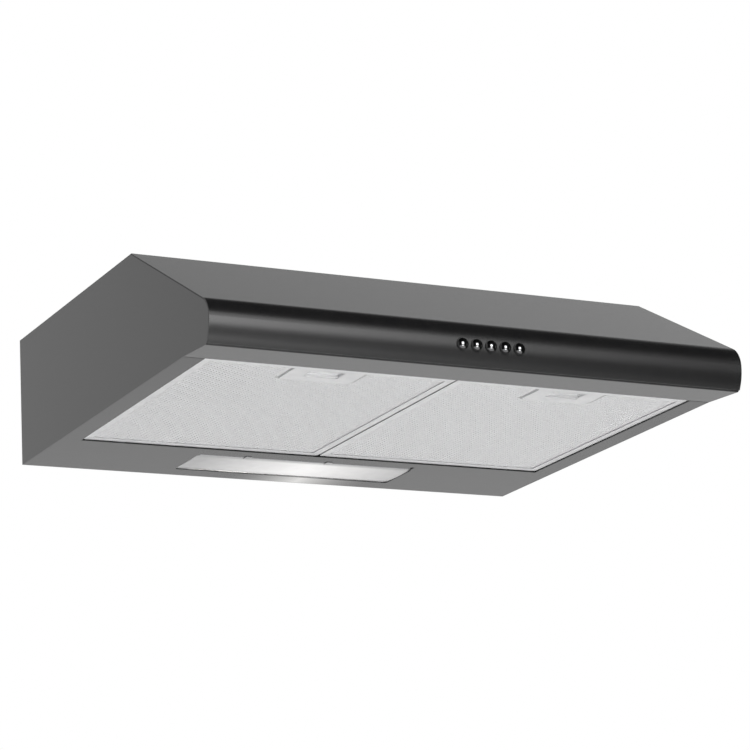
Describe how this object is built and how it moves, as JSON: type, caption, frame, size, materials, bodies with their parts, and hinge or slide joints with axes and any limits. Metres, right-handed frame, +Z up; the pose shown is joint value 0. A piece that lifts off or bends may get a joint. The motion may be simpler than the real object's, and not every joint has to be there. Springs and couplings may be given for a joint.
{
  "type": "under cabinet range hood",
  "caption": "Under cabinet range hood: sloping curved front with push buttons, hinged mesh grease filters, rear lamp, centrifugal blower and top duct collar.",
  "frame": {"origin": "middle of the rear edge of the flat top, where the wall and the cabinet meet", "axes": "+X right as seen from the front, +Y towards the wall, +Z up"},
  "size_m": [0.598, 0.5034, 0.1752],
  "materials": {
    "black_paint": "satin",
    "filter_aluminium": "satin",
    "filter_mesh": "expanded mesh",
    "lens": "frosted",
    "galvanised": "zinc spangle",
    "ceramic": "matt",
    "brass": "satin",
    "bulb_glass": "frosted",
    "bezel_plastic": "gloss",
    "switch_plastic": "fine grain",
    "chrome": "polished",
    "outlet_plastic": "fine grain",
    "steel": "turned",
    "housing_plastic": "fine grain",
    "motor_steel": "drawn",
    "stator": "laminated",
    "capacitor": "satin",
    "rubber": "matt"
  },
  "bodies": {
    "hood": {"blower_screws": "steel", "bracket_screws": "steel", "bulb_cap": "brass", "bulb_glass": "bulb_glass", "button_bezel": "bezel_plastic", "cable_grommet": "rubber", "capacitor": "capacitor", "capacitor_strap": "galvanised", "cover_screws": "steel", "flap_pin": "steel", "front_panel": "black_paint", "front_rail": "black_paint", "lamp_holder": "ceramic", "lamp_housing": "galvanised", "lamp_panel": "black_paint", "left_blower_housing": "housing_plastic", "left_side_panel": "black_paint", "left_side_rail": "black_paint", "motor_bearings": "brass", "motor_bracket": "galvanised", "motor_can": "motor_steel", "motor_end_cap": "motor_steel", "motor_stator": "stator", "outlet_collar": "outlet_plastic", "rear_panel": "black_paint", "right_blower_housing": "housing_plastic", "right_side_panel": "black_paint", "right_side_rail": "black_paint", "switch_bracket": "galvanised", "switch_module": "switch_plastic", "switch_screws": "steel", "terminal_box": "switch_plastic", "terminal_cover": "switch_plastic", "top_panel": "black_paint"},
    "left_filter": {"left_filter_frame": "filter_aluminium", "left_filter_mesh": "filter_mesh", "left_latch_plate": "filter_aluminium"},
    "right_filter": {"right_filter_frame": "filter_aluminium", "right_filter_mesh": "filter_mesh", "right_latch_plate": "filter_aluminium"},
    "left_latch": {"left_filter_latch": "filter_aluminium"},
    "right_latch": {"right_filter_latch": "filter_aluminium"},
    "lamp_cover": {"lamp_lens": "lens"},
    "rotor": {"impeller": "housing_plastic", "rotor_core": "stator", "motor_shaft": "steel"},
    "front_flap": {"front_outlet_flap": "outlet_plastic"},
    "rear_flap": {"rear_outlet_flap": "outlet_plastic"},
    "lamp_push": {"lamp_button": "chrome"},
    "off_push": {"off_button": "chrome"},
    "low_push": {"low_button": "chrome"},
    "medium_push": {"medium_button": "chrome"},
    "high_push": {"high_button": "chrome"}
  },
  "joints": [
    {"name": "left_filter_tilt", "type": "hinge", "parent": "hood", "child": "left_filter", "pos_m": [-0.1382, -0.1152, -0.138], "axis": [1, 0, 0], "range_deg": [0, 50]},
    {"name": "left_latch_slide", "type": "slide", "parent": "left_filter", "child": "left_latch", "axis": [0, 1, 0], "range_m": [0, 0.005], "stiffness_N_per_m": 300, "springref_m": -0.002},
    {"name": "right_filter_tilt", "type": "hinge", "parent": "hood", "child": "right_filter", "pos_m": [0.1382, -0.1152, -0.138], "axis": [1, 0, 0], "range_deg": [0, 50]},
    {"name": "right_latch_slide", "type": "slide", "parent": "right_filter", "child": "right_latch", "axis": [0, 1, 0], "range_m": [0, 0.005], "stiffness_N_per_m": 300, "springref_m": -0.002},
    {"name": "lamp_cover_tilt", "type": "hinge", "parent": "hood", "child": "lamp_cover", "pos_m": [0, -0.028, -0.137], "axis": [1, 0, 0], "range_deg": [0, 75]},
    {"name": "lamp_press", "type": "slide", "parent": "hood", "child": "lamp_push", "axis": [0, 1, 0], "range_m": [0, 0.003], "stiffness_N_per_m": 250, "springref_m": -0.002},
    {"name": "off_press", "type": "slide", "parent": "hood", "child": "off_push", "axis": [0, 1, 0], "range_m": [0, 0.003], "stiffness_N_per_m": 250, "springref_m": -0.002},
    {"name": "low_press", "type": "slide", "parent": "hood", "child": "low_push", "axis": [0, 1, 0], "range_m": [0, 0.003], "stiffness_N_per_m": 250, "springref_m": -0.002},
    {"name": "medium_press", "type": "slide", "parent": "hood", "child": "medium_push", "axis": [0, 1, 0], "range_m": [0, 0.003], "stiffness_N_per_m": 250, "springref_m": -0.002},
    {"name": "high_press", "type": "slide", "parent": "hood", "child": "high_push", "axis": [0, 1, 0], "range_m": [0, 0.003], "stiffness_N_per_m": 250, "springref_m": -0.002},
    {"name": "impeller_spin", "type": "hinge", "parent": "hood", "child": "rotor", "pos_m": [0, -0.185, -0.065], "axis": [1, 0, 0], "continuous": true},
    {"name": "front_flap_lift", "type": "hinge", "parent": "hood", "child": "front_flap", "pos_m": [0, -0.135, 0.01], "axis": [-1, 0, 0], "range_deg": [0, 78]},
    {"name": "rear_flap_lift", "type": "hinge", "parent": "hood", "child": "rear_flap", "pos_m": [0, -0.135, 0.01], "axis": [1, 0, 0], "range_deg": [0, 78]}
  ]
}
